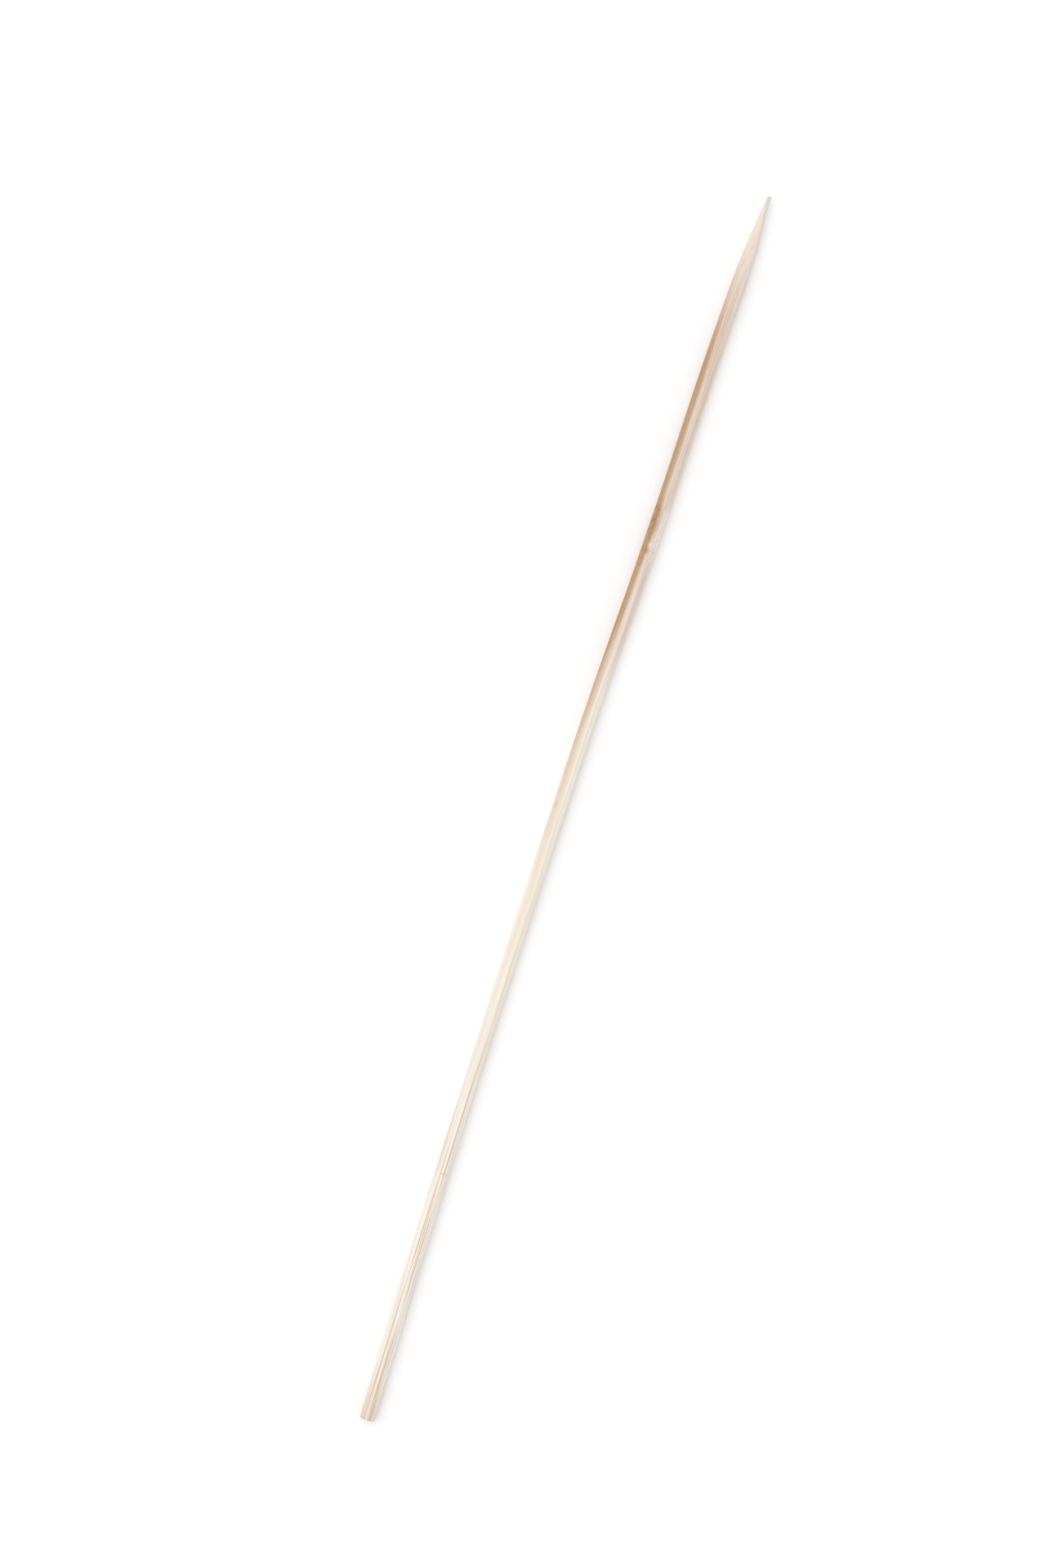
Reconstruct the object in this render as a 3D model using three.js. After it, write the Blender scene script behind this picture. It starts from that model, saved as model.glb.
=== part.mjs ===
// A bamboo skewer: one solid stick of split and rounded bamboo, as it lies on a level surface.
// Millimetres, +Z up. The stick runs along Y, with its ground tip towards +Y and its sawn butt towards -Y.
// The stick is lofted through rings: each ring is the rounded section at one distance from the butt.
import * as THREE from "three";

// Overall sizes.
const LENGTH = 300;
const DIAMETER = 3.5;
// The flat strip of wood along the underside, which the stick lies on.
const REST_FLAT_WIDTH = 1.2;
// The rounding machine leaves the stick a little thicker and thinner along its length.
const WAVER = 0.025;
const WAVER_PITCH = 118;

// The ground tip: a blunt end, a short neck, then a taper that swells to the full diameter.
const TIP_DIAMETER = 0.84;
const TIP_EDGE = 0.1;
const NECK_LENGTH = 1.3;
const NECK_DIAMETER = 0.96;
const TAPER_LENGTH = 25;

// The sawn butt: a square cut with a slightly worn edge.
const BUTT_EDGE = 0.12;

// The stick's natural bow, to the left of the line from butt to tip, and the small kink at its node.
const BOW = 1.85;
const NODE_KINK = 0.5;
const KINK_LENGTH = 100;

// The node of the cane: a low swelling with one fine ridge across it, on the butt's side of its middle.
const NODE_FROM_TIP = 83;
const NODE_LENGTH = 22;
const NODE_SWELL = 0.055;
const RIDGE_FROM_NODE = 5;
const RIDGE_WIDTH = 1.6;
const RIDGE_HEIGHT = 0.045;

// Flat faces that were left where the split strip was thin. Angles are in degrees round the section from
// +X towards +Z. A face fades in and out over FADE_LENGTH, and `from` and `to` are distances from the tip.
const FADE_LENGTH = 30;
const FACES = [
  { middle: -38, half: 12, from: 20, to: 290 },
  { middle: 40, half: 15, from: 14, to: 150 },
  { middle: 92, half: 15, from: 12, to: 165 },
  { middle: 144, half: 17, from: 14, to: 140 },
  { middle: 212, half: 14, from: 90, to: 296 },
];

// Fine cracks between the fibres. Each is deepest at the butt and closes `reach` from it.
const CRACK_WIDTH = 0.1;
const CRACKS = [
  { middle: 66, depth: 0.2, reach: 11 },
  { middle: 118, depth: 0.28, reach: 17 },
];

// The spacing of the rings and of the points round a section.
const SHAFT_STEP = 4;
const NODE_STEP = 1.1;
const RIDGE_STEP = RIDGE_WIDTH / 4;
const BUTT_STEP = 2;
const TAPER_STEP = 1.25;
const ARC_STEP = 11;
// The smallest half angle of a face that has faded out, so that no two points fall together.
const FACE_END = 1.5;

const radius = DIAMETER / 2;
const axisHeight = Math.sqrt(radius ** 2 - (REST_FLAT_WIDTH / 2) ** 2);
const nodeAt = LENGTH - NODE_FROM_TIP;
const ridgeAt = nodeAt - RIDGE_FROM_NODE;
const crackHalf = THREE.MathUtils.radToDeg(CRACK_WIDTH / 2 / radius);

// 1 at the middle, falling smoothly to 0 at half a length to either side.
function hump(y, middle, length) {
  const away = Math.min(Math.abs(y - middle) / (length / 2), 1);
  return 0.5 + 0.5 * Math.cos(Math.PI * away);
}

// The radius of the rounded shaft with its node, at a distance from the butt.
function shaftRadius(y) {
  const waver = WAVER * Math.sin((2 * Math.PI * y) / WAVER_PITCH);
  const swell = NODE_SWELL * hump(y, nodeAt, NODE_LENGTH);
  const ridge = RIDGE_HEIGHT * hump(y, ridgeAt, RIDGE_WIDTH);
  return radius + waver + swell + ridge;
}

// The radius within the taper, at a distance from the tip.
function taperRadius(fromTip, full) {
  const neck = NECK_DIAMETER / 2;
  if (fromTip < NECK_LENGTH) {
    return THREE.MathUtils.lerp(TIP_DIAMETER / 2, neck, fromTip / NECK_LENGTH);
  }
  const along = (fromTip - NECK_LENGTH) / (TAPER_LENGTH - NECK_LENGTH);
  return neck + (full - neck) * Math.sin((Math.PI / 2) * along);
}

// The radius anywhere, with the worn edges at both ends.
function radiusAt(y) {
  const fromTip = LENGTH - y;
  const full = shaftRadius(y);
  const ground = fromTip < TAPER_LENGTH ? taperRadius(fromTip, full) : full;
  return ground - Math.max(0, BUTT_EDGE - y) - Math.max(0, TIP_EDGE - fromTip);
}

// How far the middle of the stick lies to the side of the line from butt to tip.
function sidewaysAt(y) {
  const along = y / LENGTH;
  return NODE_KINK * hump(y, nodeAt, KINK_LENGTH) - BOW * 4 * along * (1 - along);
}

// The two corners of the flat underside, as [angle, distance from the axis].
function undersideCorners(ringRadius) {
  const reached = THREE.MathUtils.radToDeg(Math.acos(Math.min(1, axisHeight / ringRadius)));
  const half = Math.max(FACE_END, reached);
  return [
    [-90 - half, ringRadius],
    [-90 + half, ringRadius],
  ];
}

// The two corners of a side face.
function faceCorners(face, ringRadius, y) {
  const fromTip = LENGTH - y;
  const fadeIn = THREE.MathUtils.smoothstep(fromTip, face.from, face.from + FADE_LENGTH);
  const fadeOut = THREE.MathUtils.smoothstep(fromTip, face.to - FADE_LENGTH, face.to);
  const half = Math.max(FACE_END, face.half * fadeIn * (1 - fadeOut));
  return [
    [face.middle - half, ringRadius],
    [face.middle + half, ringRadius],
  ];
}

// The two lips and the bottom of a crack.
function crackCorners(crack, ringRadius, y) {
  const depth = crack.depth * (1 - THREE.MathUtils.smoothstep(y, 0, crack.reach));
  return [
    [crack.middle - crackHalf, ringRadius],
    [crack.middle, ringRadius - depth],
    [crack.middle + crackHalf, ringRadius],
  ];
}

// What shapes the section, in order round it, each with the widest half angle that it takes.
const underside = {
  middle: -90,
  half: THREE.MathUtils.radToDeg(Math.acos(axisHeight / radius)),
  corners: undersideCorners,
};
const sides = [
  ...FACES.map((face) => ({ ...face, corners: (r, y) => faceCorners(face, r, y) })),
  ...CRACKS.map((crack) => ({ ...crack, half: crackHalf, corners: (r, y) => crackCorners(crack, r, y) })),
];
const features = [underside, ...sides.sort((a, b) => a.middle - b.middle)];

// How many points fill the round stretch after each feature, the same for every ring.
const fills = features.map((feature, i) => {
  const next = features[i + 1] ?? { middle: underside.middle + 360, half: underside.half };
  const gap = next.middle - next.half - feature.middle - feature.half;
  return Math.max(0, Math.round(gap / ARC_STEP) - 1);
});

// One ring: the points of the section at a distance from the butt, counterclockwise seen from the butt.
function ringAt(y) {
  const ringRadius = radiusAt(y);
  const groups = features.map((feature) => feature.corners(ringRadius, y));
  const outline = groups.flatMap((corners, i) => {
    const from = corners[corners.length - 1][0];
    const to = i + 1 < groups.length ? groups[i + 1][0][0] : groups[0][0][0] + 360;
    const arc = Array.from({ length: fills[i] }, (_, k) => [
      THREE.MathUtils.lerp(from, to, (k + 1) / (fills[i] + 1)),
      ringRadius,
    ]);
    return [...corners, ...arc];
  });
  return outline.map(([angle, distance]) => {
    const turn = THREE.MathUtils.degToRad(angle);
    const x = sidewaysAt(y) + distance * Math.cos(turn);
    const z = axisHeight + distance * Math.sin(turn);
    return new THREE.Vector3(x, y, z);
  });
}

// Distances from the butt, evenly spaced between two ends.
function spread(from, to, step) {
  const count = Math.max(1, Math.round((to - from) / step));
  return Array.from({ length: count }, (_, i) => THREE.MathUtils.lerp(from, to, i / count));
}

// Where the rings lie: closer together at the butt, the node, the ridge and the taper.
function ringPlaces() {
  const buttEnd = Math.max(...CRACKS.map((crack) => crack.reach));
  const nodeStart = nodeAt - NODE_LENGTH / 2;
  const nodeEnd = nodeAt + NODE_LENGTH / 2;
  const taperStart = LENGTH - TAPER_LENGTH;
  return [
    0,
    ...spread(BUTT_EDGE, buttEnd, BUTT_STEP),
    ...spread(buttEnd, nodeStart, SHAFT_STEP),
    ...spread(nodeStart, ridgeAt - RIDGE_WIDTH / 2, NODE_STEP),
    ...spread(ridgeAt - RIDGE_WIDTH / 2, ridgeAt + RIDGE_WIDTH / 2, RIDGE_STEP),
    ...spread(ridgeAt + RIDGE_WIDTH / 2, nodeEnd, NODE_STEP),
    ...spread(nodeEnd, taperStart, SHAFT_STEP),
    ...spread(taperStart, LENGTH - NECK_LENGTH, TAPER_STEP),
    LENGTH - NECK_LENGTH,
    LENGTH - TIP_EDGE,
    LENGTH,
  ];
}

// The middle of a ring's own plane, for the fan that closes an end.
function middleOf(y) {
  return new THREE.Vector3(sidewaysAt(y), y, axisHeight);
}

// The closed surface: quads between the rings, and a fan over each end.
function stickGeometry() {
  const rings = ringPlaces().map(ringAt);
  const around = rings[0].length;
  const points = [...rings.flat(), middleOf(0), middleOf(LENGTH)];
  const buttMiddle = points.length - 2;
  const tipMiddle = points.length - 1;
  const lastRing = (rings.length - 1) * around;
  const faces = [];
  for (let k = 0; k < around; k += 1) {
    const next = (k + 1) % around;
    for (let j = 0; j < rings.length - 1; j += 1) {
      const here = j * around;
      const ahead = here + around;
      faces.push(here + k, ahead + k, ahead + next);
      faces.push(here + k, ahead + next, here + next);
    }
    faces.push(buttMiddle, k, next);
    faces.push(tipMiddle, lastRing + next, lastRing + k);
  }
  const geometry = new THREE.BufferGeometry().setFromPoints(points);
  geometry.setIndex(faces);
  geometry.computeVertexNormals();
  return geometry;
}

const bamboo = new THREE.MeshStandardMaterial({ color: 0xeadbc2, roughness: 0.72, metalness: 0 });
const skewer = new THREE.Mesh(stickGeometry(), bamboo);
skewer.name = "skewer";

// The part's origin lies on the surface, under the middle of the stick's outline seen from above.
const middle = new THREE.Box3().setFromObject(skewer).getCenter(new THREE.Vector3());
skewer.position.set(-middle.x, -middle.y, 0);

const part = new THREE.Group();
part.add(skewer);
export default part;
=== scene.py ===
"""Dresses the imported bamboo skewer: the ground and split stick, its loose fibres, and a plain pale stage."""

import math
import random

import bpy
import numpy as np
from bpy.props import FloatProperty, FloatVectorProperty, IntProperty, PointerProperty
from mathutils import Matrix, Vector, noise


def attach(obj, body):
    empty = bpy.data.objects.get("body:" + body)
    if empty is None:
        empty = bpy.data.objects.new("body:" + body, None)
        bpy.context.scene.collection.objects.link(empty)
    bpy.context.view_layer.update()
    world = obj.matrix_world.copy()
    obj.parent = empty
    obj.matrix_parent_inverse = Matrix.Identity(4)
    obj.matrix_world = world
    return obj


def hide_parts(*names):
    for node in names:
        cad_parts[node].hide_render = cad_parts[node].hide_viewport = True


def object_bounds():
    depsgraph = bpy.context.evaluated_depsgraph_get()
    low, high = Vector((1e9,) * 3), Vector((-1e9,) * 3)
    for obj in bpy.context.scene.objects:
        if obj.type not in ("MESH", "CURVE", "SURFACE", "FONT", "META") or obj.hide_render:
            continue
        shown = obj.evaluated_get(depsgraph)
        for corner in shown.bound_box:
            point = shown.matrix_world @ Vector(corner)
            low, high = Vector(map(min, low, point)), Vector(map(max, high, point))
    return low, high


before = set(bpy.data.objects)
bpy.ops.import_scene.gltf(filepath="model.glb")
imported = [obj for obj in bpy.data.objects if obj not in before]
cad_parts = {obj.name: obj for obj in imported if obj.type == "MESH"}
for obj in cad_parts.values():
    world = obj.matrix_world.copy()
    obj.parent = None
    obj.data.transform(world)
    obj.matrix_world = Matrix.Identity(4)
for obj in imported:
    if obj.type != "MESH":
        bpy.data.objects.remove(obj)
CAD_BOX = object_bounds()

bl_info = {
    "name": "Bamboo Skewer",
    "version": (1, 0, 0),
    "blender": (4, 5, 0),
    "location": "3D View > Sidebar > Skewer",
    "description": "Adds a ground bamboo skewer with its fibres, lying on a pale floor",
    "category": "Add Mesh",
}

MM = 0.001
NODE_NAME = "skewer"
BODY_NAME = "root"
# The dressed wood has a material name of its own, apart from the name of the imported part.
WOOD_NAME = "split_bamboo"

# The flat faces left round the stick. Angles are degrees round the section from +X towards +Z, and
# `start` and `end` are millimetres from the tip.
FACES = (
    {"middle": -38, "half": 12, "start": 20, "end": 290},
    {"middle": 40, "half": 15, "start": 14, "end": 150},
    {"middle": 92, "half": 15, "start": 12, "end": 165},
    {"middle": 144, "half": 17, "start": 14, "end": 140},
    {"middle": 212, "half": 14, "start": 90, "end": 296},
)
# Cracks that are open at the butt and close `reach` millimetres from it.
CRACKS = (
    {"middle": 66, "depth": 0.2, "reach": 11},
    {"middle": 118, "depth": 0.28, "reach": 17},
)
# Shallow creases between fibres, in millimetres from the butt, with how far each one is darkened towards the
# crease colour.
CREASES = (
    {"middle": 107, "start": 2, "end": 74, "depth": 0.035, "tone": 0.7},
    {"middle": 78, "start": 0, "end": 96, "depth": 0.035, "tone": 0.8},
    {"middle": 53, "start": 6, "end": 62, "depth": 0.045, "tone": 0.8},
    {"middle": 88, "start": 30, "end": 58, "depth": 0.02, "tone": 0.5},
    {"middle": 133, "start": 0, "end": 40, "depth": 0.03, "tone": 0.55},
    {"middle": 98, "start": 118, "end": 176, "depth": 0.015, "tone": 0.3},
    {"middle": 70, "start": 84, "end": 196, "depth": 0.02, "tone": 0.35},
    {"middle": 126, "start": 96, "end": 168, "depth": 0.015, "tone": 0.22},
    {"middle": 117, "start": 188, "end": 288, "depth": 0.03, "tone": 0.6},
    {"middle": 78, "start": 202, "end": 284, "depth": 0.035, "tone": 0.55},
    {"middle": 48, "start": 176, "end": 276, "depth": 0.04, "tone": 0.45},
    {"middle": 20, "start": 20, "end": 190, "depth": 0.03, "tone": 0.6},
    {"middle": 168, "start": 60, "end": 210, "depth": 0.03, "tone": 0.6},
    {"middle": 236, "start": 30, "end": 160, "depth": 0.03, "tone": 0.6},
    {"middle": 300, "start": 110, "end": 270, "depth": 0.03, "tone": 0.6},
)
# Small brown flecks, in millimetres from the butt, with their sizes along and round the stick.
FLECKS = (
    {"at": 28, "turn": 62, "length": 2.4, "width": 0.7, "share": 0.65},
    {"at": 60, "turn": 72, "length": 0.35, "width": 2.6, "share": 0.4},
    {"at": 150, "turn": 118, "length": 3.0, "width": 0.5, "share": 0.35},
)
# The pale patch and the brown scar at the node, placed in the same way but from the middle of the node.
BLOOM = {"at": 0, "turn": 38, "length": 24, "width": 3.0, "share": 0.6}
SCAR = {"at": 3, "turn": 138, "length": 15, "width": 3.0, "share": 0.04, "curl_share": 0.46}
# The full part of a mark, as a share of its half length and half width.
MARK_CORE = 0.35
# The curls in the scar: where their noise draws a line, how wide the line is, and how twisted.
CURL_LEVEL = 0.47
CURL_WIDTH = 0.13
CURL_TWIST = 1.3
# The line of painted shade beside the node's ridge: how far it lies to the tip's side of it, its half width,
# and its strength.
RIDGE_SHADE_OFFSET = 0.7
RIDGE_SHADE_WIDTH = (0.02, 0.2)
RIDGE_SHADE_SHARE = 0.28

# Where the colour changes along the stick: the start and the end of each change, from the butt. Where two
# more numbers follow, the strength goes from the one to the other.
SOILED_END = (0.5, 14.0, 0.22, 0.0)
STREAKED_END = (50.0, 100.0, 1.0, 0.0)
# The tan left flank, partly browner wood and partly painted shade, comes in and fades out over these lengths.
SKIN_AND_SHADE_COMES = (128.0, 205.0)
SKIN_AND_SHADE_GOES = (256.0, 286.0, 1.0, 0.1)
PINK_COMES = (168.0, 208.0)
PINK_PALES = (266.0, 294.0, 1.0, 0.55)
# The greyer wood at the very tip: its length, and its strength at the end.
GREY_TIP = 7
GREY_TIP_SHARE = 0.7
# How far the node's changes reach from its middle.
NODE_REACH = (1.5, 11.0)
# Which way the tan flank faces, across and up, how far out that way its colour comes in, and how much
# further in it reaches at the node. The tan on this left flank is partly browner wood towards the cane's rind
# and partly painted shade.
SKIN_AND_SHADE_TOWARDS = (-0.9, 0.3)
SKIN_AND_SHADE_DEPTH = (0.15, 1.5)
SKIN_AND_SHADE_AT_NODE = 0.45
# The strength of the tan flank's colour all along, and what the upper part adds. The tan is partly browner
# wood and partly painted shade.
SKIN_AND_SHADE_STRENGTH = (0.03, 0.95)

# Patterns in the wood: noise in cells of so many millimetres across and along the fibres. Each goes from
# `start` to `end`, or else from 0 to 1, where the noise goes from `low` to `high`.
STRAW = {"across": 1.5, "along": 80.0, "low": 0.42, "high": 0.68}
BLUSH = {"across": 1.3, "along": 55.0, "low": 0.4, "high": 0.62, "start": 0.1, "end": 0.6, "detail": 1.0}
PINK = {"across": 0.8, "along": 70.0, "low": 0.3, "high": 0.6, "start": 0.6}
# Streaks in the tan left flank, which is partly painted shade.
SKIN_AND_SHADE_STREAKS = {"across": 0.3, "along": 34.0, "low": 0.32, "high": 0.6, "start": 0.68}
BUNDLE_PATCHES = {"across": 0.9, "along": 60.0, "low": 0.34, "high": 0.62}
FINE_LINES = {"across": 0.13, "along": 26.0, "low": 0.54, "high": 0.68}
CREASE_BREAKS = {"across": 0.6, "along": 15.0, "low": 0.36, "high": 0.6, "start": 0.3, "end": 0.85}
# Breaks in the line of painted shade beside the node's ridge.
RIDGE_SHADE_BREAKS = {"across": 1.2, "along": 3.0, "low": 0.3, "high": 0.6, "start": 0.3}
ROUGHNESS = {"across": 0.4, "along": 12.0, "low": 0.3, "high": 0.7, "start": 0.5, "end": 0.68}
# Other sizes of cells across and along the fibres.
BUNDLES = (0.36, 42.0)
SWIRLS = (1.1, 2.6)
SLOW_DRIFT = (6.0, 45.0)
CURLS = (0.8, 3.6)
FUZZ = (0.07, 2.5)
COARSE_RELIEF = (0.3, 38)
FINE_RELIEF = (0.16, 14)
SAWN_RELIEF = (0.22, 50)
# Where a fibre bundle's edge lies, from the middle of its cell.
BUNDLE_EDGE = (0.18, 0.42)
# How far the pattern is pushed aside at the node, and how far it drifts along the stick.
SWIRL_PUSH = 1.9
DRIFT_PUSH = 0.45
# The height of the fuzz in millimetres, how much of it shows, and the level of the wood's sheen.
FUZZ_HEIGHT = 0.02
FUZZ_STRENGTH = 0.35
SHEEN_LEVEL = 0.35
# The strength of a colour everywhere, and what is added to it near the butt and in the upper part.
BLUSH_STRENGTH = (0.3, 0.4, 0.0)
BUNDLE_STRENGTH = (0.2, 0.45, 0.25)
LINE_STRENGTH = (0.2, 0.32, 0.15)
# How much browner the fine lines are on the tan left flank, which is partly painted shade.
LINES_IN_SKIN_AND_SHADE = 0.4

# The shares of the coarse and the fine relief, and the most that they reach together, in fibre depths.
COARSE_SHARE = 0.6
FINE_SHARE = 0.4
RELIEF_MOST = 1.4
# How far apart the noise of two seeds lies.
SEED_STRIDE = 17.31

# A crease wanders so many degrees round the stick, in bends of so many millimetres, and fades in and out
# over these lengths. One that starts nearer to the butt than AT_BUTT runs out through the end.
CREASE_WANDER = 1.6
CREASE_BEND = 23
CREASE_FADE_IN = 9
CREASE_FADE_OUT = 14
AT_BUTT = 3
# Points nearer to a crack than this many of its half widths give way to its own.
CRACK_ROOM = 1.6
# How dark the middle of a crack is made, and over how many half widths that falls by 1.
CRACK_TONE = 1.2
CRACK_TONE_REACH = 2
# The lengths that have fine rings, at the butt and to either side of the node, and the steps on a worn edge.
FINE_BUTT = 6
FINE_NODE = 9
EDGE_RINGS = 4
# The loops that close an end, as shares of the rim. Those inside CAP_ROUND are round. The roughness comes
# in over the outer 1 / CAP_RISE of the radius.
CAP_LOOPS = (0.985, 0.93, 0.85, 0.74, 0.62, 0.48, 0.33, 0.17, 0)
CAP_ROUND = 0.6
CAP_RISE = 12

# Ranges for the loose fibre ends: the angle, the length, the width, and how far the point stands off.
TAPER_SLIVERS = {"turn": (-60, 240), "length": (0.8, 2.4), "width": (0.05, 0.1), "lift": (0, 0.08)}
SHAFT_SLIVERS = {"turn": (20, 160), "length": (2, 7), "width": (0.05, 0.09), "lift": (0.05, 0.1)}
# Those of the taper start from this far before it to this far from the tip, and the butt end has none.
SLIVER_MARGIN = 4
BARE_BUTT = 8
# A blade's steps, how deep its root lies in the wood, how far it thins towards its point, and its height as
# a share of its width.
SLIVER_STEPS = 5
SLIVER_ROOT = 0.05
SLIVER_THINNING = 0.8
SLIVER_HEIGHT = 0.8

# The light, as linear colours, and the lamp's direction: right and up in the picture, and off the floor.
SKY_COLOUR = (0.985, 0.99, 1.0)
KEY_COLOUR = (1.0, 0.992, 0.985)
KEY_TOWARDS = (-0.42, 0.25, 1.0)
SENSOR_WIDTH = 36


def linear(red, green, blue):
    """A colour given as a screen shows it, from 0 to 255, as the linear values that Blender takes."""
    parts = [c / 255 for c in (red, green, blue)]
    return tuple(c / 12.92 if c <= 0.04045 else ((c + 0.055) / 1.055) ** 2.4 for c in parts)


def length_size(name, description, millimetres):
    """A size property that is shown as a length."""
    return FloatProperty(
        name=name, description=description, default=millimetres * MM, unit="LENGTH", precision=5
    )


def colour_choice(name, description, *screen):
    """A colour property, its default given as a screen shows it."""
    return FloatVectorProperty(
        name=name, description=description, default=linear(*screen), subtype="COLOR", size=3, min=0, max=1
    )


class SkewerSizes(bpy.types.PropertyGroup):
    """The sizes of the stick."""

    length: length_size("Length", "From the sawn butt to the ground tip", (CAD_BOX[1].y - CAD_BOX[0].y) / MM)
    diameter: length_size("Diameter", "Thickness of the rounded stick", 3.5)
    rest_flat: length_size("Rest flat", "Width of the flat strip that the stick lies on", 1.2)
    waver: length_size("Waver", "How far the radius wanders along the stick", 0.025)
    waver_pitch: length_size("Waver pitch", "Distance between two thick places", 118)
    tip_diameter: length_size("Tip diameter", "Width of the blunt end of the tip", 0.84)
    tip_edge: length_size("Tip edge", "Size of the worn edge round the tip's end", 0.1)
    neck_length: length_size("Neck length", "Length of the narrow part behind the tip", 1.3)
    neck_diameter: length_size("Neck diameter", "Width of the stick where the taper starts to swell", 0.96)
    taper_length: length_size("Taper length", "Length that was ground to a point", 25)
    butt_edge: length_size("Butt edge", "Size of the worn edge round the sawn butt", 0.12)
    bow: length_size("Bow", "How far the middle lies beside the line from butt to tip", 1.85)
    node_kink: length_size("Node kink", "How far the node lies off the even bow", 0.5)
    kink_length: length_size("Kink length", "Length of the kink at the node", 100)
    node_from_tip: length_size("Node from tip", "Distance from the tip to the middle of the node", 83)
    node_length: length_size("Node length", "Length of the swelling at the node", 22)
    node_swell: length_size("Node swell", "How much the node adds to the radius", 0.055)
    ridge_from_node: length_size("Ridge from node", "Distance from the node's middle to its ridge", 5)
    ridge_width: length_size("Ridge width", "Width of the ridge across the node", 1.6)
    ridge_height: length_size("Ridge height", "Height of the ridge across the node", 0.045)
    face_fade: length_size("Face fade", "Length over which a flat face fades in or out", 30)
    crack_width: length_size("Crack width", "Width of a crack at the surface", 0.1)
    crease_width: length_size("Crease width", "Width of a crease between fibres", 0.2)
    fibre_depth: length_size("Fibre depth", "Depth of the fine relief of the fibres", 0.016)
    saw_depth: length_size("Saw depth", "Unevenness of the sawn butt", 0.09)


class SkewerFinish(bpy.types.PropertyGroup):
    """The colours and the fineness of the stick's surface."""

    cream: colour_choice("Cream", "Pale wood of most of the stick", 246, 240, 230)
    straw: colour_choice("Straw", "Yellower wood in broad streaks", 240, 230, 211)
    blush: colour_choice("Blush", "Pinkish wood of the upper part", 223, 206, 192)
    # Colour of the tan left flank: partly browner wood towards the cane's rind, partly painted shade.
    skin: colour_choice("Skin side", "Browner wood towards the skin of the cane", 172, 129, 78)
    fibre: colour_choice("Fibre", "Brown fibre bundles", 192, 146, 110)
    ground: colour_choice("Ground tip", "Greyer wood at the very tip", 212, 203, 191)
    crease: colour_choice("Crease", "Brown in the creases and cracks", 160, 116, 78)
    scar: colour_choice("Scar", "Dark brown marks at the node", 122, 82, 46)
    bloom: colour_choice("Bloom", "Pale patch on the node", 246, 238, 231)
    around: IntProperty(name="Points round", description="Points round a section", default=144, min=36)
    shaft_step: length_size("Shaft step", "Distance between rings along the shaft", 0.62)
    fine_step: length_size("Fine step", "Distance between rings on the taper and at the node", 0.27)
    slivers: IntProperty(
        name="Slivers",
        description="Loose fibre ends on the taper, with a third as many along the shaft",
        default=34,
        min=0,
    )
    seed: IntProperty(name="Seed", description="Start of the random draws", default=11)


class SkewerStage(bpy.types.PropertyGroup):
    """The floor, the light and the camera."""

    floor_size: length_size("Floor size", "Side of the square floor", 6000)
    floor_colour: colour_choice("Floor", "Colour of the floor and backdrop", 253, 253, 253)
    sky_level: FloatProperty(name="Sky level", description="Strength of the even light", default=0.8)
    key_level: FloatProperty(name="Key level", description="Strength of the main lamp", default=0.92)
    key_angle: FloatProperty(
        name="Key angle",
        description="Width of the main lamp in the sky",
        default=math.radians(70),
        unit="ROTATION",
    )
    camera_height: length_size("Camera height", "Height of the camera above the floor", 1000)
    image_width: IntProperty(name="Image width", description="Pixels across the picture", default=1289)
    image_height: IntProperty(name="Image height", description="Pixels down the picture", default=1920)
    tip_x: IntProperty(name="Tip across", description="Pixel across at the tip", default=942)
    tip_y: IntProperty(name="Tip down", description="Pixel down at the tip", default=241)
    butt_x: IntProperty(name="Butt across", description="Pixel across at the butt", default=449)
    butt_y: IntProperty(name="Butt down", description="Pixel down at the butt", default=1738)


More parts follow.
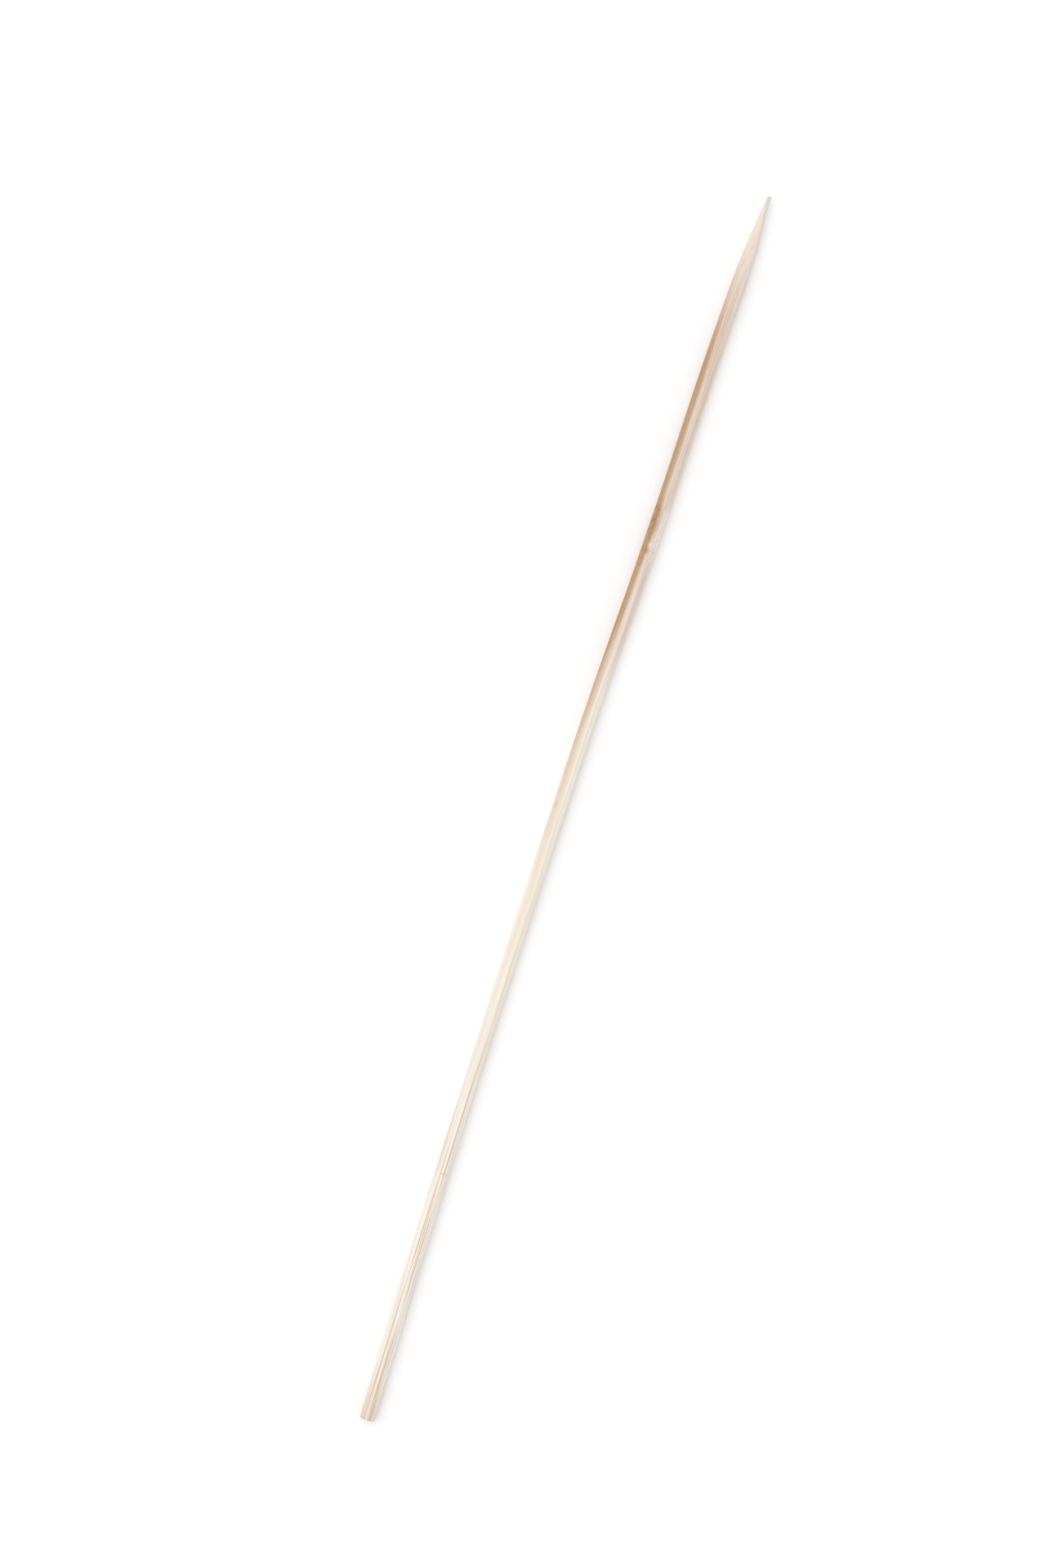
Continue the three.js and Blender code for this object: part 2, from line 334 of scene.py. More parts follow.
class Shape:
    """The form of the stick in millimetres, with y measured from the butt."""

    def __init__(self, sizes):
        for name in sizes.__annotations__:
            setattr(self, name, getattr(sizes, name) / MM)
        self.radius = self.diameter / 2
        self.axis_height = math.sqrt(self.radius**2 - (self.rest_flat / 2) ** 2)
        self.node_at = self.length - self.node_from_tip
        self.ridge_at = self.node_at - self.ridge_from_node
        self.middle_x = (CAD_BOX[0].x + CAD_BOX[1].x) / 2 / MM
        self.butt_y = CAD_BOX[0].y / MM
        samples_apart = self.taper_length / 100
        y = np.arange(0, self.length, samples_apart)
        radius = self.radius_at(y)
        left, right = (self.sideways_at(y) - radius).min(), (self.sideways_at(y) + radius).max()
        self.shift_x = self.middle_x - (left + right) / 2

    def radius_at(self, y):
        """The radius of the round section, with its node and taper, before the ends' worn edges are taken off.
        """
        waver = self.waver * np.sin(2 * np.pi * y / self.waver_pitch)
        swell = self.node_swell * hump(y, self.node_at, self.node_length)
        ridge = self.ridge_height * hump(y, self.ridge_at, self.ridge_width)
        full = self.radius + waver + swell + ridge
        from_tip = self.length - y
        along = (from_tip - self.neck_length) / (self.taper_length - self.neck_length)
        neck = self.neck_diameter / 2
        ground = neck + (full - neck) * np.sin(np.pi / 2 * np.clip(along, 0, 1))
        blunt = self.tip_diameter / 2 + (neck - self.tip_diameter / 2) * from_tip / self.neck_length
        return np.where(along < 0, blunt, ground)

    def sideways_at(self, y):
        """How far the middle of the section lies beside the line from butt to tip."""
        along = y / self.length
        return self.node_kink * hump(y, self.node_at, self.kink_length) - self.bow * 4 * along * (1 - along)

    def outline(self, y, turn):
        """Distances from the axis for rings at y and angles in degrees, with the flat faces but no relief."""
        radius = self.radius_at(y)[:, None]
        distance = np.broadcast_to(radius, (len(y), len(turn))).copy()
        from_tip = (self.length - y)[:, None]
        for face in FACES:
            rise = smooth(from_tip, face["start"], face["start"] + self.face_fade)
            fall = smooth(from_tip, face["end"] - self.face_fade, face["end"])
            half = np.radians(face["half"] * rise * (1 - fall))
            distance = cut_flat(distance, turn, face["middle"], half, radius * np.cos(half))
        rest = np.arccos(np.minimum(1, self.axis_height / radius))
        return cut_flat(distance, turn, -90, rest, self.axis_height)

    def place(self, y, turn, distance):
        """Points in metres in the part's own frame, from y, degrees and a distance from the axis."""
        angle = np.radians(turn)
        x = self.sideways_at(y) + distance * np.cos(angle) + self.shift_x
        z = self.axis_height + distance * np.sin(angle)
        return np.stack(np.broadcast_arrays(x, y + self.butt_y, z), axis=-1) * MM


def hump(y, middle, length):
    """1 at the middle, falling smoothly to 0 at half a length to either side."""
    return 0.5 + 0.5 * np.cos(np.pi * np.minimum(np.abs(y - middle) / (length / 2), 1))


def smooth(value, start, end):
    """0 up to start, 1 from end, and smooth between."""
    t = np.clip((value - start) / (end - start), 0, 1)
    return t * t * (3 - 2 * t)


def apart(turn, middle):
    """The signed angle in radians from a middle, the short way round."""
    return np.radians((turn - middle + 180) % 360 - 180)


def cut_flat(distance, turn, middle, half, depth):
    """The outline with a flat face: within `half` radians of its middle, it lies at `depth` from the axis."""
    away = apart(turn, middle)[None, :]
    flat = depth / np.cos(np.clip(away, -1.5, 1.5))
    return np.where(np.abs(away) < half, np.minimum(distance, flat), distance)


def section_turns(shape, count):
    """Angles round the section, evenly spaced but for the lips and the bottom of each crack."""
    even = np.arange(count) * 360 / count - 180
    half = math.degrees(shape.crack_width / 2 / shape.radius)
    extra = []
    for crack in CRACKS:
        away = np.abs(np.degrees(apart(even, crack["middle"])))
        even = even[away > half * CRACK_ROOM]
        extra += [crack["middle"] - half, crack["middle"], crack["middle"] + half]
    return np.sort(np.concatenate([even, extra]))


def ring_places(shape, finish):
    """Distances of the rings from the butt: closer together at the ends, the node and the taper."""
    coarse, fine = finish.shaft_step / MM, finish.fine_step / MM
    taper_start = shape.length - shape.taper_length
    stretches = (
        (0, shape.butt_edge, shape.butt_edge / EDGE_RINGS),
        (shape.butt_edge, FINE_BUTT, fine),
        (FINE_BUTT, shape.node_at - FINE_NODE, coarse),
        (shape.node_at - FINE_NODE, shape.node_at + FINE_NODE, fine),
        (shape.node_at + FINE_NODE, taper_start, coarse),
        (taper_start, shape.length - shape.tip_edge, fine),
        (shape.length - shape.tip_edge, shape.length, shape.tip_edge / EDGE_RINGS),
    )
    places = [np.linspace(a, b, max(1, round((b - a) / step)), endpoint=False) for a, b, step in stretches]
    return np.concatenate([*places, [shape.length]])


def solid_noise(points, seed, across, along):
    """Noise in a solid block of wood: fine across the fibres and drawn out along them."""
    scaled = points * np.array([1 / across, 1 / along, 1 / across]) + seed * SEED_STRIDE
    flat = scaled.reshape(-1, 3)
    values = np.fromiter((noise.noise(Vector(p)) for p in flat), float, len(flat))
    return values.reshape(points.shape[:-1])


def grain_points(y, turn, distance):
    """Each point in the straightened stick, in millimetres: across, along, and up from the axis."""
    angle = np.radians(turn)
    x, along, z = np.broadcast_arrays(distance * np.cos(angle), y, distance * np.sin(angle))
    return np.stack([x, along, z], axis=-1)


def edge_wear(shape, y):
    """How much the worn edges of the two ends take off the radius, each as a quarter round."""
    def quarter(from_end, size):
        inside = np.clip(1 - from_end / size, 0, 1)
        return size * (1 - np.sqrt(1 - inside**2))

    return quarter(y, shape.butt_edge) + quarter(shape.length - y, shape.tip_edge)


def crease_groove(shape, crease, y, turn):
    """The form of one crease, from 0 to 1. It wanders a little and fades out towards its ends."""
    wander = CREASE_WANDER * np.sin(y / CREASE_BEND + crease["middle"])[:, None]
    away = apart(turn[None, :], crease["middle"] + wander) * shape.radius / (shape.crease_width / 2)
    window = 1 - smooth(y, crease["end"] - CREASE_FADE_OUT, crease["end"])
    if crease["start"] >= AT_BUTT:
        window = smooth(y, crease["start"], crease["start"] + CREASE_FADE_IN) * window
    return np.exp(-(away**2)) * window[:, None]


def crack_groove(shape, crack, y, turn):
    """The form of one crack, from 0 to 1, and how much it is darkened in it and beside it. Both fade as it
    closes.
    """
    half = shape.crack_width / 2 / shape.radius
    away = np.abs(apart(turn, crack["middle"]))[None, :] / half
    opening = 1 - smooth(y, 0, crack["reach"])[:, None]
    brown = np.clip(CRACK_TONE - away / CRACK_TONE_REACH, 0, 1) * opening**0.5
    return np.clip(1 - away, 0, 1) * opening, brown


def stick_surface(shape, finish):
    """The surface of the stick: ring places, angles, distances from the axis, and how far each point is
    darkened.
    """
    y = ring_places(shape, finish)
    turn = section_turns(shape, finish.around)
    distance = shape.outline(y, turn)
    grain = grain_points(y[:, None], turn[None, :], distance)
    coarse = solid_noise(grain, finish.seed, *COARSE_RELIEF)
    fine = solid_noise(grain, finish.seed + 1, *FINE_RELIEF)
    relief = shape.fibre_depth * np.clip(0.5 + (COARSE_SHARE * coarse + FINE_SHARE * fine), 0, RELIEF_MOST)
    tone = np.zeros_like(distance)
    for crease in CREASES:
        groove = crease_groove(shape, crease, y, turn)
        relief += crease["depth"] * groove
        tone = np.maximum(tone, crease["tone"] * groove)
    for crack in CRACKS:
        groove, brown = crack_groove(shape, crack, y, turn)
        relief += crack["depth"] * groove
        tone = np.maximum(tone, brown)
    distance = distance - relief - edge_wear(shape, y)[:, None]
    return y, turn, distance, tone


def cap_points(shape, finish, y_end, turn, rim, inward):
    """The loops that close an end, rough up to a depth, each with how near it is to the rim's shape."""
    loops = []
    for share in CAP_LOOPS:
        near_rim = float(smooth(share, CAP_ROUND, 1))
        distance = share * (near_rim * rim + (1 - near_rim) * np.median(rim))
        grain = grain_points(np.full_like(distance, y_end), turn, distance)
        rough = solid_noise(grain, finish.seed + 5, *SAWN_RELIEF) * 0.5 + 0.5
        loops.append((y_end + inward * rough * min(1, (1 - share) * CAP_RISE), distance, near_rim))
    return loops


def tube_faces(rows, count):
    """The faces between rings of points, and a fan at each end to the two points that follow the rings."""
    here = np.arange(count)
    after = np.roll(here, -1)
    faces = []
    for row in range(rows - 1):
        low, high = row * count, (row + 1) * count
        faces.append(np.stack([low + here, high + here, high + after, low + after], axis=1))
    faces = np.concatenate(faces).tolist()
    last = (rows - 1) * count
    middle = rows * count
    faces += [[middle, a, b] for a, b in zip(here.tolist(), after.tolist())]
    faces += [[middle + 1, last + b, last + a] for a, b in zip(here.tolist(), after.tolist())]
    return faces


def stick_mesh(shape, finish):
    """The vertices in metres, the faces, the grain coordinates and the darkening of the whole stick."""
    y, turn, distance, tone = stick_surface(shape, finish)
    count = len(turn)
    rows = [(np.full(count, ring), distance[i], tone[i]) for i, ring in enumerate(y)]
    butt = cap_points(shape, finish, y[0], turn, distance[0], shape.saw_depth)
    tip = cap_points(shape, finish, y[-1], turn, distance[-1], -shape.saw_depth / 3)
    rows = [(a, d, tone[0] * near**3) for a, d, near in butt[-2::-1]] + rows
    rows += [(a, d, tone[-1] * near) for a, d, near in tip[:-1]]
    along = np.stack([row[0] for row in rows])
    out = np.stack([row[1] for row in rows])
    points = shape.place(along, turn[None, :], out).reshape(-1, 3)
    grain = grain_points(along, turn[None, :], out).reshape(-1, 3)
    brown = np.stack([row[2] for row in rows]).reshape(-1)
    ends = [shape.place(np.array(e[-1][0].mean()), 0.0, 0.0) for e in (butt, tip)]
    end_grain = [np.array([0, e[-1][0].mean(), 0]) for e in (butt, tip)]
    points = np.vstack([points, *ends])
    grain = np.vstack([grain, *end_grain])
    brown = np.concatenate([brown, [0, 0]])
    return points, tube_faces(len(rows), count), grain, brown


def add_mesh(name, points, faces, grain, brown, material):
    """A smooth mesh object that carries the grain coordinates and the darkening of its points."""
    mesh = bpy.data.meshes.new(name)
    mesh.from_pydata(points.tolist(), [], faces)
    place = mesh.attributes.new("grain", "FLOAT_VECTOR", "POINT")
    place.data.foreach_set("vector", grain.ravel().astype("f"))
    tone = mesh.attributes.new("groove_darkening", "FLOAT", "POINT")
    tone.data.foreach_set("value", brown.astype("f"))
    mesh.shade_smooth()
    mesh.validate()
    mesh.update()
    mesh.materials.append(material)
    piece = bpy.data.objects.new(name, mesh)
    bpy.context.scene.collection.objects.link(piece)
    return piece


class Nodes:
    """Short ways to add shader nodes to one material."""

    def __init__(self, name):
        self.material = bpy.data.materials.new(name)
        self.material.use_nodes = True
        self.tree = self.material.node_tree
        self.tree.nodes.clear()

    def add(self, kind, inputs=(), **settings):
        """A node with some settings, its inputs given by name or number as values or as other outputs."""
        node = self.tree.nodes.new(kind)
        for key, value in settings.items():
            setattr(node, key, value)
        for key, value in dict(inputs).items():
            if isinstance(value, bpy.types.NodeSocket):
                self.tree.links.new(value, node.inputs[key])
            else:
                node.inputs[key].default_value = value
        return node

    def maths(self, operation, a, b=0.0):
        """The result of one sum on numbers."""
        return self.add("ShaderNodeMath", {0: a, 1: b}, operation=operation).outputs[0]

    def plus(self, a, b):
        """The sum of two numbers."""
        return self.maths("ADD", a, b)

    def times(self, a, b):
        """The product of two numbers."""
        return self.maths("MULTIPLY", a, b)

    def vector_maths(self, operation, a, b):
        """The result of one sum on vectors."""
        return self.add("ShaderNodeVectorMath", {0: a, 1: b}, operation=operation).outputs[0]

    def ramp(self, value, low, high, start=0.0, end=1.0):
        """A smooth step from start to end as the value goes from low to high."""
        places = {"Value": value, "From Min": low, "From Max": high, "To Min": start, "To Max": end}
        return self.add("ShaderNodeMapRange", places, interpolation_type="SMOOTHSTEP").outputs["Result"]

    def line_at(self, value, middle, inner, outer):
        """1 where the value is within `inner` of a middle, falling to 0 at `outer`."""
        away = self.maths("ABSOLUTE", self.maths("SUBTRACT", value, middle))
        return self.ramp(away, inner, outer, 1.0, 0.0)

    def stretched(self, grain, across, along):
        """Grain coordinates counted in cells that are `across` wide and `along` long, in millimetres."""
        return self.vector_maths("MULTIPLY", grain, (1 / across, 1 / along, 1 / across))

    def noise(self, place, detail, distortion=0.0):
        """A noise texture at some coordinates."""
        inputs = {"Vector": place, "Scale": 1.0, "Detail": detail, "Distortion": distortion}
        return self.add("ShaderNodeTexNoise", inputs)

    def streaks(self, grain, across, along, detail=2.0):
        """Noise drawn out along the fibres, about 0.5."""
        return self.noise(self.stretched(grain, across, along), detail).outputs["Fac"]

    def pattern(self, grain, across, along, low, high, start=0.0, end=1.0, detail=2.0):
        """One of the patterns in the wood."""
        return self.ramp(self.streaks(grain, across, along, detail), low, high, start, end)

    def strength(self, near_butt, upper, everywhere, butt_more, upper_more):
        """How strong a colour is, from its strength everywhere and what is added near the butt and above."""
        amount = self.plus(everywhere, self.times(near_butt, butt_more))
        return self.plus(amount, self.times(upper, upper_more)) if upper_more else amount

    def mix(self, share, first, second):
        """One colour laid over another by a share."""
        node = self.add("ShaderNodeMix", data_type="RGBA")
        for key, value in ((0, share), (6, first), (7, second)):
            if isinstance(value, bpy.types.NodeSocket):
                self.tree.links.new(value, node.inputs[key])
            elif key:
                node.inputs[key].default_value = (*value, 1)
            else:
                node.inputs[key].default_value = value
        return node.outputs[2]


def spot(nodes, grain, shape, mark, start=0.0):
    """1 at a mark's place, counted from start, fading to 0 at half its length and half its width away."""
    angle = math.radians(mark["turn"])
    centre = (shape.radius * math.cos(angle), start + mark["at"], shape.radius * math.sin(angle))
    offset = nodes.vector_maths("SUBTRACT", grain, centre)
    scaled = nodes.stretched(offset, mark["width"] / 2, mark["length"] / 2)
    far = nodes.add("ShaderNodeVectorMath", {0: scaled}, operation="LENGTH").outputs["Value"]
    return nodes.ramp(far, MARK_CORE, 1.0, 1.0, 0.0)


def warped_grain(nodes, raw, at_node):
    """The grain coordinates, drifting slowly from side to side, and swirled at the node."""
    swirl = nodes.noise(nodes.stretched(raw, *SWIRLS), 1.5).outputs["Color"]
    centred = nodes.vector_maths("SUBTRACT", swirl, (0.5, 0.5, 0.5))
    push = {0: centred, "Scale": nodes.times(at_node, SWIRL_PUSH)}
    pushed = nodes.add("ShaderNodeVectorMath", push, operation="SCALE").outputs[0]
    drift = nodes.noise(nodes.stretched(raw, *SLOW_DRIFT), 1.0).outputs["Color"]
    drifted = nodes.vector_maths("MULTIPLY", drift, (DRIFT_PUSH, 0.0, DRIFT_PUSH))
    return nodes.vector_maths("ADD", nodes.vector_maths("ADD", raw, pushed), drifted)


def skin_side_and_shade(nodes, grain, along, at_node):
    """How strongly the tan is laid on: the left flank of the upper part, wider at the node. It is partly
    browner wood towards the cane's rind and partly painted shade.
    """
    plus, times, ramp = nodes.plus, nodes.times, nodes.ramp
    across, _, up = nodes.add("ShaderNodeSeparateXYZ", {0: grain}).outputs
    out = plus(times(across, SKIN_AND_SHADE_TOWARDS[0]), times(up, SKIN_AND_SHADE_TOWARDS[1]))
    flank = ramp(plus(out, times(at_node, SKIN_AND_SHADE_AT_NODE)), *SKIN_AND_SHADE_DEPTH)
    upper = times(ramp(along, *SKIN_AND_SHADE_COMES), ramp(along, *SKIN_AND_SHADE_GOES))
    all_along, upper_more = SKIN_AND_SHADE_STRENGTH
    return times(flank, plus(all_along, times(upper, upper_more)))


def fibre_bundles(nodes, grain):
    """The darker bundles of fibres, seen as long cells of which only some patches show."""
    cells = {"Vector": nodes.stretched(grain, *BUNDLES), "Scale": 1.0, "Randomness": 0.9}
    distance = nodes.add("ShaderNodeTexVoronoi", cells).outputs["Distance"]
    bundles = nodes.ramp(distance, *BUNDLE_EDGE, 1.0, 0.0)
    return nodes.times(bundles, nodes.pattern(grain, **BUNDLE_PATCHES))


def wood_tint(nodes, finish, grain, along, at_node):
    """The colour of the wood: broad tints and a tan left flank that is partly painted shade, with fibre
    bundles and fine lines over them.
    """
    times, mix, pattern = nodes.times, nodes.mix, nodes.pattern
    near_butt = nodes.ramp(along, *STREAKED_END)
    upper = times(nodes.ramp(along, *PINK_COMES), nodes.ramp(along, *PINK_PALES))
    # The tan left flank: partly browner wood, partly painted shade.
    skin = skin_side_and_shade(nodes, grain, along, at_node)
    tint = mix(pattern(grain, **STRAW), finish.cream, finish.straw)
    blush = times(pattern(grain, **BLUSH), nodes.strength(near_butt, upper, *BLUSH_STRENGTH))
    pink = times(upper, pattern(grain, **PINK))
    tint = mix(nodes.maths("MAXIMUM", blush, pink), tint, finish.blush)
    tint = mix(times(skin, pattern(grain, **SKIN_AND_SHADE_STREAKS)), tint, finish.skin)
    bundle_share = nodes.strength(near_butt, upper, *BUNDLE_STRENGTH)
    tint = mix(times(fibre_bundles(nodes, grain), bundle_share), tint, finish.fibre)
    lines = pattern(grain, **FINE_LINES)
    line_share = nodes.strength(near_butt, upper, *LINE_STRENGTH)
    tint = mix(times(lines, line_share), tint, finish.fibre)
    return mix(times(times(lines, skin), LINES_IN_SKIN_AND_SHADE), tint, finish.crease)


def node_marks(nodes, shape, finish, tint, raw, grain, along):
    """The tint with a pale patch on the node, brown curls beside it and a fine line of painted shade along its
    ridge.
    """
    times, mix = nodes.times, nodes.mix
    bloom = spot(nodes, grain, shape, BLOOM, shape.node_at)
    tint = mix(times(bloom, BLOOM["share"]), tint, finish.bloom)
    curls = nodes.noise(nodes.stretched(raw, *CURLS), 0.0, CURL_TWIST).outputs["Fac"]
    curl_lines = nodes.line_at(curls, CURL_LEVEL, 0.0, CURL_WIDTH)
    scar = spot(nodes, raw, shape, SCAR, shape.node_at)
    scar = times(scar, nodes.plus(SCAR["share"], times(curl_lines, SCAR["curl_share"])))
    tint = mix(scar, tint, finish.scar)
    # A line of painted shade just to the tip's side of the node's ridge.
    ridge = nodes.line_at(along, shape.ridge_at + RIDGE_SHADE_OFFSET, *RIDGE_SHADE_WIDTH)
    ridge = times(ridge, nodes.pattern(raw, **RIDGE_SHADE_BREAKS))
    return mix(times(ridge, RIDGE_SHADE_SHARE), tint, finish.crease)


def worn_marks(nodes, shape, finish, tint, grain, along, groove_darkening):
    """The tint with flecks, darker creases and cracks, a soiled butt and a greyer tip."""
    times, mix = nodes.times, nodes.mix
    for fleck in FLECKS:
        tint = mix(times(spot(nodes, grain, shape, fleck), fleck["share"]), tint, finish.crease)
    tint = mix(times(groove_darkening, nodes.pattern(grain, **CREASE_BREAKS)), tint, finish.crease)
    tint = mix(nodes.ramp(along, *SOILED_END), tint, finish.fibre)
    grey = nodes.ramp(along, shape.length - GREY_TIP, shape.length, 0.0, GREY_TIP_SHARE)
    return mix(grey, tint, finish.ground)


def bamboo_material(shape, finish):
    """Dry split bamboo, as a pattern in the solid wood. It is made once, for the stick and its fibres."""
    if WOOD_NAME in bpy.data.materials:
        return bpy.data.materials[WOOD_NAME]
    nodes = Nodes(WOOD_NAME)
    raw = nodes.add("ShaderNodeAttribute", attribute_name="grain").outputs["Vector"]
    groove_darkening = nodes.add("ShaderNodeAttribute", attribute_name="groove_darkening").outputs["Fac"]
    along = nodes.add("ShaderNodeSeparateXYZ", {0: raw}).outputs[1]
    at_node = nodes.line_at(along, shape.node_at, *NODE_REACH)
    grain = warped_grain(nodes, raw, at_node)
    tint = wood_tint(nodes, finish, grain, along, at_node)
    tint = node_marks(nodes, shape, finish, tint, raw, grain, along)
    tint = worn_marks(nodes, shape, finish, tint, grain, along, groove_darkening)
    rough = nodes.pattern(grain, **ROUGHNESS)
    fuzz = {
        "Height": nodes.streaks(grain, *FUZZ, 3.0),
        "Strength": FUZZ_STRENGTH,
        "Distance": FUZZ_HEIGHT * MM,
    }
    bump = nodes.add("ShaderNodeBump", fuzz).outputs[0]
    surface = {"Base Color": tint, "Roughness": rough, "Normal": bump, "Specular IOR Level": SHEEN_LEVEL}
    shader = nodes.add("ShaderNodeBsdfPrincipled", surface)
    nodes.add("ShaderNodeOutputMaterial", {"Surface": shader.outputs[0]})
    return nodes.material


def sliver_blade(shape, root_y, turn, length, width, lift):
    """One loose fibre end: a three-sided blade that leaves the surface and thins to a point."""
    spread = math.degrees(width / 2 / shape.radius)
    base = shape.outline(np.array([root_y]), np.array([turn]))[0, 0] - SLIVER_ROOT
    points, grain = [], []
    for i in range(SLIVER_STEPS):
        share = i / SLIVER_STEPS
        y = np.array([root_y + length * share])
        out = base + lift * share**2
        thin = 1 - SLIVER_THINNING * share
        for side, height in ((-1, 0.0), (1, 0.0), (0, width * SLIVER_HEIGHT * thin)):
            angle = turn + side * spread * thin
            points.append(shape.place(y, angle, out + height)[0])
            grain.append(grain_points(y, angle, out + height)[0])
    end = np.array([root_y + length])
    points.append(shape.place(end, turn, base + lift)[0])
    grain.append(grain_points(end, turn, base + lift)[0])
    faces = [[0, 2, 1]]
    for i in range(SLIVER_STEPS - 1):
        for k in range(3):
            a, b = 3 * i + k, 3 * i + (k + 1) % 3
            faces.append([a, b, b + 3, a + 3])
    last = 3 * (SLIVER_STEPS - 1)
    faces += [[last + k, last + (k + 1) % 3, 3 * SLIVER_STEPS] for k in range(3)]
    if length < 0:
        faces = [face[::-1] for face in faces]
    return np.array(points), faces, np.array(grain)


def drawn_sliver(draw, y, way, ranges):
    """The measures of one loose fibre end at y. It points to the tip where way is 1, to the butt where -1."""
    turn = draw.uniform(*ranges["turn"])
    length = way * draw.uniform(*ranges["length"])
    width = draw.uniform(*ranges["width"])
    lift = draw.uniform(*ranges["lift"])
    return y, turn, length, width, lift


def sliver_mesh(shape, finish):
    """All loose fibre ends: most on the taper, pointing to the tip, and some along the shaft, either way."""
    draw = random.Random(finish.seed)
    blades = []
    taper = shape.length - shape.taper_length
    for _ in range(finish.slivers):
        y = draw.uniform(taper - SLIVER_MARGIN, shape.length - SLIVER_MARGIN)
        blades.append(drawn_sliver(draw, y, 1, TAPER_SLIVERS))
    for _ in range(finish.slivers // 3):
        y = draw.uniform(BARE_BUTT, taper)
        way = draw.choice((-1, 1))
        blades.append(drawn_sliver(draw, y, way, SHAFT_SLIVERS))
    points, faces, grain = [], [], []
    first = 0
    for blade in blades:
        some_points, some_faces, some_grain = sliver_blade(shape, *blade)
        faces += [[first + i for i in face] for face in some_faces]
        points.append(some_points)
        grain.append(some_grain)
        first += len(some_points)
    return np.vstack(points), faces, np.vstack(grain)


class SKEWER_OT_add_stick(bpy.types.Operator):
    """Add the stick itself, with its faces, cracks, creases and node"""

    bl_idname = "skewer.add_stick"
    bl_label = "Add Stick"

    def execute(self, context):
        shape = Shape(context.scene.skewer_sizes)
        finish = context.scene.skewer_finish
        points, faces, grain, brown = stick_mesh(shape, finish)
        piece = add_mesh("stick", points, faces, grain, brown, bamboo_material(shape, finish))
        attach(piece, BODY_NAME)
        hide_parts(NODE_NAME)
        return {"FINISHED"}


class SKEWER_OT_add_slivers(bpy.types.Operator):
    """Add the loose fibre ends"""

    bl_idname = "skewer.add_slivers"
    bl_label = "Add Loose Fibres"

    def execute(self, context):
        shape = Shape(context.scene.skewer_sizes)
        finish = context.scene.skewer_finish
        points, faces, grain = sliver_mesh(shape, finish)
        brown = np.zeros(len(points))
        piece = add_mesh("loose_fibres", points, faces, grain, brown, bamboo_material(shape, finish))
        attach(piece, BODY_NAME)
        return {"FINISHED"}


def add_floor(stage):
    """The pale floor, which keeps the stick's shadow."""
    side = stage.floor_size / 2
    mesh = bpy.data.meshes.new("floor")
    corners = [(-side, -side, 0), (side, -side, 0), (side, side, 0), (-side, side, 0)]
    mesh.from_pydata(corners, [], [(0, 1, 2, 3)])
    nodes = Nodes("floor")
    surface = {"Base Color": (*stage.floor_colour, 1), "Roughness": 0.9, "Specular IOR Level": 0.0}
    shader = nodes.add("ShaderNodeBsdfPrincipled", surface)
    nodes.add("ShaderNodeOutputMaterial", {"Surface": shader.outputs[0]})
    mesh.materials.append(nodes.material)
    floor = bpy.data.objects.new("floor", mesh)
    bpy.context.scene.collection.objects.link(floor)


def add_sky(stage):
    """Even light from all round, which the camera sees as a white backdrop."""
    world = bpy.data.worlds.new("sky")
    world.use_nodes = True
    tree = world.node_tree
    tree.nodes.clear()
    path = tree.nodes.new("ShaderNodeLightPath")
    seen = path.outputs["Is Camera Ray"]
    for ray in ("Is Glossy Ray", "Is Transmission Ray"):
        either = tree.nodes.new("ShaderNodeMath")
        either.operation = "MAXIMUM"
        tree.links.new(seen, either.inputs[0])
        tree.links.new(path.outputs[ray], either.inputs[1])
        seen = either.outputs[0]
    level = tree.nodes.new("ShaderNodeMapRange")
    level.inputs["To Min"].default_value = stage.sky_level
    level.inputs["To Max"].default_value = 1.0
    tree.links.new(seen, level.inputs["Value"])
    background = tree.nodes.new("ShaderNodeBackground")
    background.inputs["Color"].default_value = (*SKY_COLOUR, 1)
    tree.links.new(level.outputs["Result"], background.inputs["Strength"])
    output = tree.nodes.new("ShaderNodeOutputWorld")
    tree.links.new(background.outputs[0], output.inputs["Surface"])
    bpy.context.scene.world = world


def camera_axes(stage):
    """The picture's right and up directions on the floor, from the slant of the stick in the picture."""
    lean = math.atan2(stage.tip_x - stage.butt_x, stage.butt_y - stage.tip_y)
    right = Vector((math.cos(lean), math.sin(lean), 0))
    up = Vector((-math.sin(lean), math.cos(lean), 0))
    return right, up


def add_key(stage):
    """The soft main lamp, from the picture's upper left."""
    right, up = camera_axes(stage)
    light = bpy.data.lights.new("key", "SUN")
    light.energy = stage.key_level
    light.angle = stage.key_angle
    light.color = KEY_COLOUR
    lamp = bpy.data.objects.new("key", light)
    across, along, above = KEY_TOWARDS
    towards = across * right + along * up + Vector((0, 0, above))
    lamp.rotation_mode = "QUATERNION"
    lamp.rotation_quaternion = towards.to_track_quat("Z", "Y")
    bpy.context.scene.collection.objects.link(lamp)


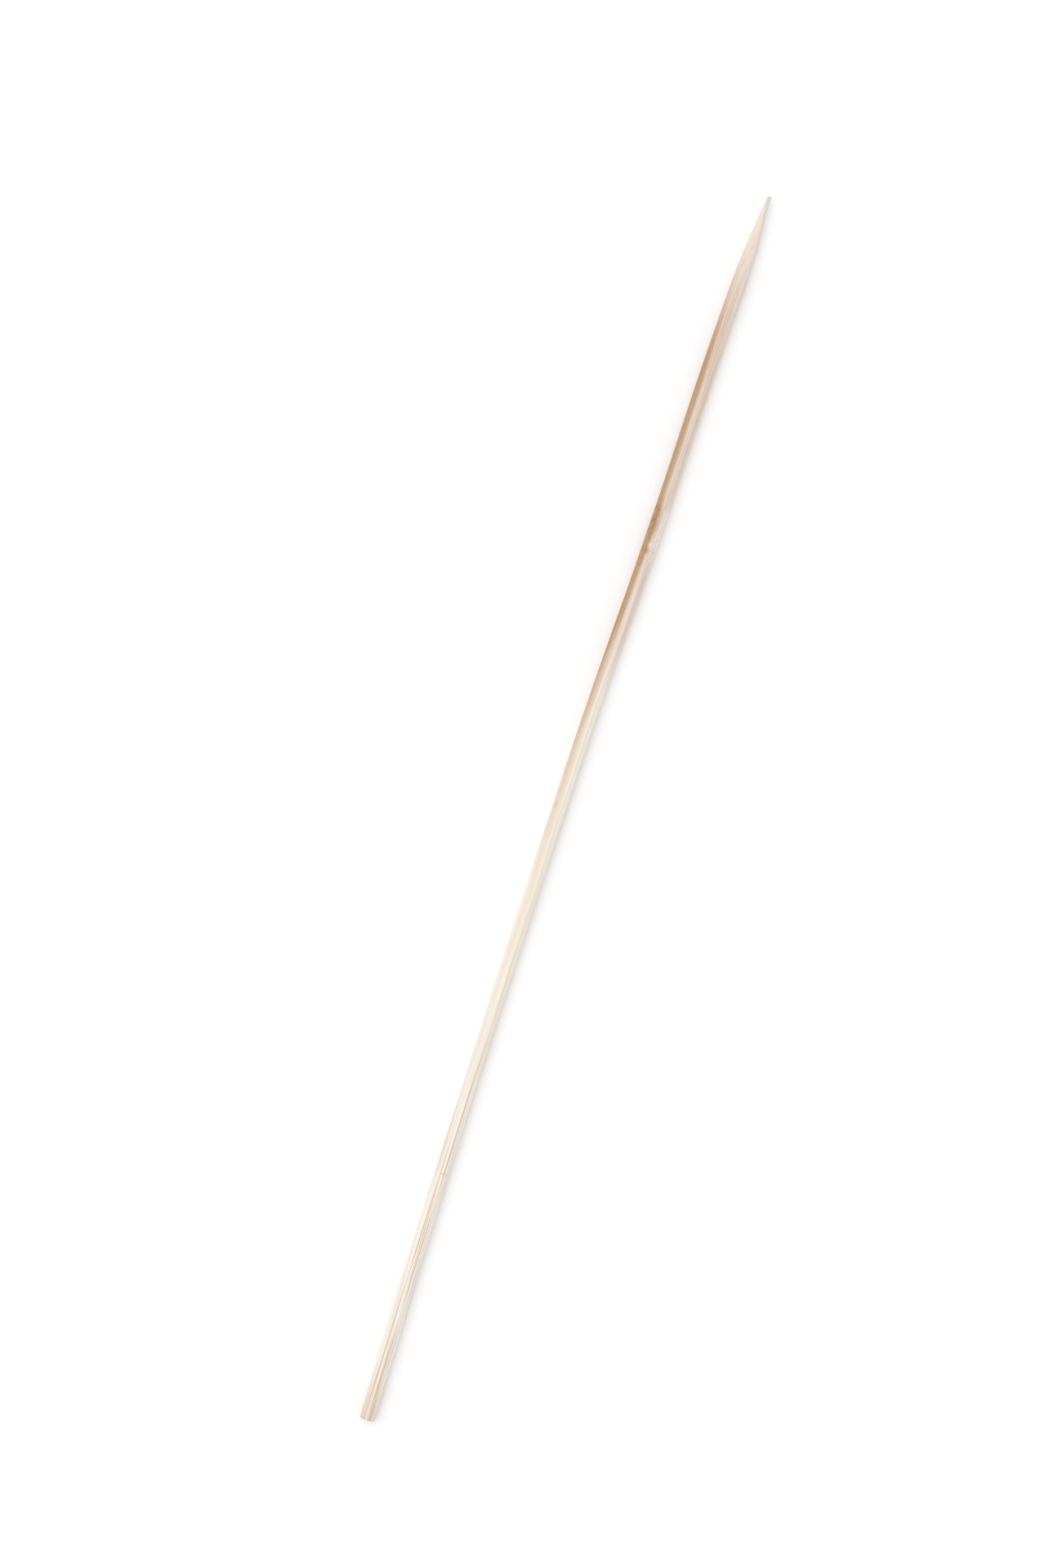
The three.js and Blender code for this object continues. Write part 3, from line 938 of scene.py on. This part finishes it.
def add_camera(stage, shape):
    """The camera, looking straight down, with the tip and the butt at their places in the picture."""
    right, up = camera_axes(stage)
    x = shape.shift_x * MM
    tip_to_butt = math.hypot(stage.tip_x - stage.butt_x, stage.tip_y - stage.butt_y)
    pixel = shape.length * MM / tip_to_butt
    off_right = ((stage.tip_x + stage.butt_x) / 2 - stage.image_width / 2) * pixel
    off_up = (stage.image_height / 2 - (stage.tip_y + stage.butt_y) / 2) * pixel
    middle = Vector((x, (CAD_BOX[0].y + CAD_BOX[1].y) / 2, shape.axis_height * MM))
    data = bpy.data.cameras.new("camera")
    data.sensor_width = SENSOR_WIDTH
    data.lens = data.sensor_width * stage.camera_height / (stage.image_height * pixel)
    camera = bpy.data.objects.new("camera", data)
    place = middle - right * off_right - up * off_up + Vector((0, 0, stage.camera_height))
    turn = Matrix((right, up, (0, 0, 1))).transposed()
    camera.matrix_world = Matrix.Translation(place) @ turn.to_4x4()
    bpy.context.scene.collection.objects.link(camera)
    bpy.context.scene.camera = camera


class SKEWER_OT_add_stage(bpy.types.Operator):
    """Add the floor, the light and the camera"""

    bl_idname = "skewer.add_stage"
    bl_label = "Add Stage"

    def execute(self, context):
        stage = context.scene.skewer_stage
        add_floor(stage)
        add_sky(stage)
        add_key(stage)
        add_camera(stage, Shape(context.scene.skewer_sizes))
        context.scene.view_settings.view_transform = "Standard"
        return {"FINISHED"}


class SKEWER_PT_panel(bpy.types.Panel):
    """The skewer's buttons and sizes"""

    bl_idname = "SKEWER_PT_panel"
    bl_label = "Bamboo Skewer"
    bl_space_type = "VIEW_3D"
    bl_region_type = "UI"
    bl_category = "Skewer"

    def draw(self, context):
        layout = self.layout
        for operator in OPERATORS:
            layout.operator(operator.bl_idname)
        for name in GROUPS:
            group = getattr(context.scene, name)
            for field in group.__annotations__:
                layout.prop(group, field)


GROUPS = {"skewer_sizes": SkewerSizes, "skewer_finish": SkewerFinish, "skewer_stage": SkewerStage}
OPERATORS = (SKEWER_OT_add_stage, SKEWER_OT_add_stick, SKEWER_OT_add_slivers)


def register():
    for group in GROUPS.values():
        bpy.utils.register_class(group)
    for name, group in GROUPS.items():
        setattr(bpy.types.Scene, name, PointerProperty(type=group))
    for operator in OPERATORS:
        bpy.utils.register_class(operator)
    bpy.utils.register_class(SKEWER_PT_panel)


def unregister():
    bpy.utils.unregister_class(SKEWER_PT_panel)
    for operator in OPERATORS:
        bpy.utils.unregister_class(operator)
    for name, group in GROUPS.items():
        delattr(bpy.types.Scene, name)
        bpy.utils.unregister_class(group)


def main():
    register()
    bpy.ops.skewer.add_stage()
    bpy.ops.skewer.add_stick()
    bpy.ops.skewer.add_slivers()


if __name__ == "__main__":
    main()
